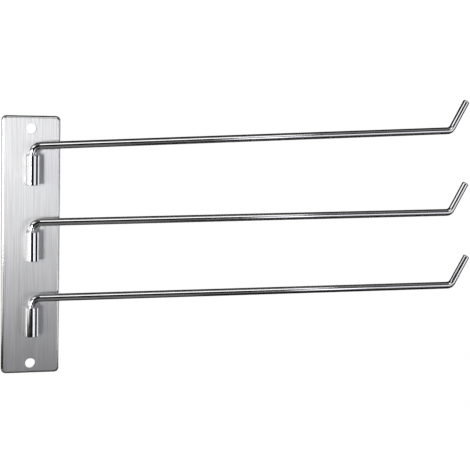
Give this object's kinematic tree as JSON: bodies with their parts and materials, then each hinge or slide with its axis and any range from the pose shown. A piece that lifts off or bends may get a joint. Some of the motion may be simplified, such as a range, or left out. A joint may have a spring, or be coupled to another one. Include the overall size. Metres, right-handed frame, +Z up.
{
  "type": "swing arm towel bar",
  "caption": "Upright wall plate with pivot sleeves, each holding a bent round rod with an upturned tip that swings out level to hang a towel on.",
  "frame": {"origin": "middle of the back plate's wall side", "axes": "+Z up; the wall is on the +Y side and the room on the -Y side; at rest the arms point along +X"},
  "size_m": [0.3926, 0.0262, 0.2252],
  "materials": {
    "brushed_plate": "stainless steel, brushed along its length",
    "polished_steel": "stainless steel, polished",
    "bush_plastic": "off-white bearing plastic",
    "washer_steel": "stainless steel, flat and dull",
    "spring_steel": "dark spring steel"
  },
  "bodies": {
    "wall_bracket": {"back_plate": "brushed_plate", "top_sleeve": "polished_steel", "top_upper_bush": "bush_plastic", "top_thrust_washer": "washer_steel", "top_lower_bush": "bush_plastic", "top_sleeve_cap": "polished_steel", "middle_sleeve": "polished_steel", "middle_upper_bush": "bush_plastic", "middle_thrust_washer": "washer_steel", "middle_lower_bush": "bush_plastic", "middle_sleeve_cap": "polished_steel", "bottom_sleeve": "polished_steel", "bottom_upper_bush": "bush_plastic", "bottom_thrust_washer": "washer_steel", "bottom_lower_bush": "bush_plastic", "bottom_sleeve_cap": "polished_steel"},
    "top_arm": {"top_swing_arm": "polished_steel", "top_clip_washer": "washer_steel", "top_retaining_clip": "spring_steel"},
    "middle_arm": {"middle_swing_arm": "polished_steel", "middle_clip_washer": "washer_steel", "middle_retaining_clip": "spring_steel"},
    "bottom_arm": {"bottom_swing_arm": "polished_steel", "bottom_clip_washer": "washer_steel", "bottom_retaining_clip": "spring_steel"}
  },
  "joints": [
    {"name": "top_arm_swing", "type": "hinge", "parent": "wall_bracket", "child": "top_arm", "pos_m": [0, -0.0091, 0.0605], "axis": [0, 0, -1], "range_deg": [0, 180]},
    {"name": "middle_arm_swing", "type": "hinge", "parent": "wall_bracket", "child": "middle_arm", "pos_m": [0, -0.0091, 0.0005], "axis": [0, 0, -1], "range_deg": [-0.8, 179.2]},
    {"name": "bottom_arm_swing", "type": "hinge", "parent": "wall_bracket", "child": "bottom_arm", "pos_m": [0, -0.0091, -0.0595], "axis": [0, 0, -1], "range_deg": [-2.2, 177.8]}
  ]
}
